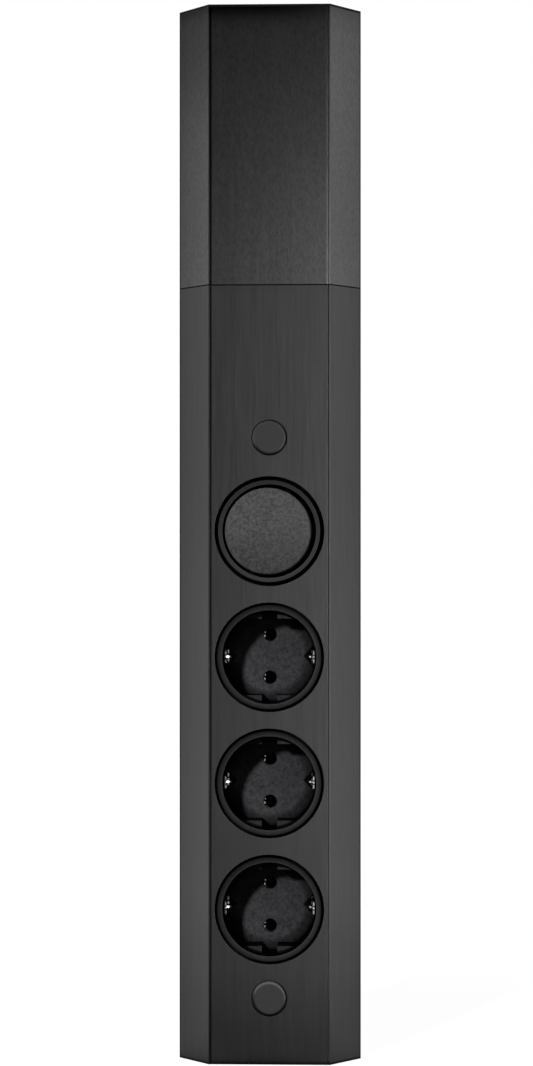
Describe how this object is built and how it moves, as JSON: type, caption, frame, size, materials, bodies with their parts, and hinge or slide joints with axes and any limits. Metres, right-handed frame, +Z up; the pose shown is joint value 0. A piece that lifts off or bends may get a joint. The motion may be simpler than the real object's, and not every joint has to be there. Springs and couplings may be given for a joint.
{
  "type": "corner socket tower",
  "caption": "Slim upright corner power tower: faceted dark extruded housing with round earthed sockets, a round rocker switch above them and a telescopic blank upper section.",
  "frame": {"origin": "centre of the footprint on the underside of the bottom cap", "axes": "+Z up along the tower, front face towards -Y, the corner of the room towards +Y, +X to the viewer's right"},
  "size_m": [0.08, 0.0472, 0.4622],
  "materials": {
    "cover_black": "brushed black anodised",
    "rail_metal": "plain mill finish",
    "cap_plate": "satin black moulding",
    "screw_steel": "zinc plated",
    "screw_black": "black zinc plated",
    "carrier_black": "matt black moulding",
    "screw_cap_black": "satin black",
    "socket_black": "semi-gloss black thermoset",
    "base_white": "off-white moulding",
    "clip_nickel": "nickel plated",
    "contact_brass": "bright brass",
    "switch_black": "satin black moulding",
    "rocker_grey": "fine-textured dark grey",
    "grommet_rubber": "matt rubber",
    "seal_rubber": "matt black rubber",
    "wire_brown": "brown wire insulation",
    "wire_blue": "blue wire insulation",
    "wire_green": "green and yellow wire insulation"
  },
  "bodies": {
    "housing": {"lower_cover": "cover_black", "rear_rail": "rail_metal", "bottom_cap": "cap_plate", "bottom_cap_screws": "screw_steel", "socket_base_screws": "screw_steel", "terminal_screws": "screw_steel", "cord_clamp_screws": "screw_steel", "earth_nut": "screw_steel", "switch_screws": "screw_black", "lower_guide_carrier": "carrier_black", "upper_guide_carrier": "carrier_black", "cord_clamp": "carrier_black", "lower_socket_insert": "socket_black", "middle_socket_insert": "socket_black", "upper_socket_insert": "socket_black", "lower_socket_base": "base_white", "middle_socket_base": "base_white", "upper_socket_base": "base_white", "terminal_block": "base_white", "lower_earth_clip": "clip_nickel", "middle_earth_clip": "clip_nickel", "upper_earth_clip": "clip_nickel", "rocker_pins": "clip_nickel", "earth_lug": "clip_nickel", "lower_live_contact": "contact_brass", "lower_neutral_contact": "contact_brass", "middle_live_contact": "contact_brass", "middle_neutral_contact": "contact_brass", "upper_live_contact": "contact_brass", "upper_neutral_contact": "contact_brass", "live_busbar": "contact_brass", "neutral_busbar": "contact_brass", "earth_busbar": "contact_brass", "seesaw_bracket": "contact_brass", "fixed_contact": "contact_brass", "switch_frame": "switch_black", "switch_housing": "switch_black", "cable_grommet": "grommet_rubber", "lower_edge_seals": "seal_rubber", "live_feed_wire": "wire_brown", "switched_live_wire": "wire_brown", "neutral_wire": "wire_blue", "earth_wire": "wire_green", "earth_bond_wire": "wire_green"},
    "upper_section": {"upper_cover": "cover_black", "top_cap": "cap_plate", "top_cap_screws": "screw_steel", "upper_edge_seals": "seal_rubber"},
    "rocker": {"rocker": "rocker_grey", "rocker_plunger": "base_white", "rocker_spring": "clip_nickel"},
    "seesaw": {"seesaw_contact": "contact_brass"},
    "lower_cap": {"lower_screw_cap": "screw_cap_black"},
    "upper_cap": {"upper_screw_cap": "screw_cap_black"}
  },
  "joints": [
    {"name": "upper_section_slide", "type": "slide", "parent": "housing", "child": "upper_section", "axis": [0, 0, 1], "range_m": [0, 0.09]},
    {"name": "rocker_turn", "type": "hinge", "parent": "housing", "child": "rocker", "pos_m": [0, -0.0154, 0.2325], "axis": [0, 0, 1], "range_deg": [0, 9]},
    {"name": "seesaw_turn", "type": "hinge", "parent": "housing", "child": "seesaw", "pos_m": [0, -0.0043, 0.2325], "axis": [0, 0, 1], "range_deg": [-12, 0]},
    {"name": "lower_cap_pull", "type": "slide", "parent": "housing", "child": "lower_cap", "axis": [0, -1, 0], "range_m": [0, 0.009]},
    {"name": "upper_cap_pull", "type": "slide", "parent": "housing", "child": "upper_cap", "axis": [0, -1, 0], "range_m": [0, 0.009]}
  ],
  "couplings": [
    {"joint": "seesaw_turn", "follows": "rocker_turn", "ratio": -1.3333}
  ]
}
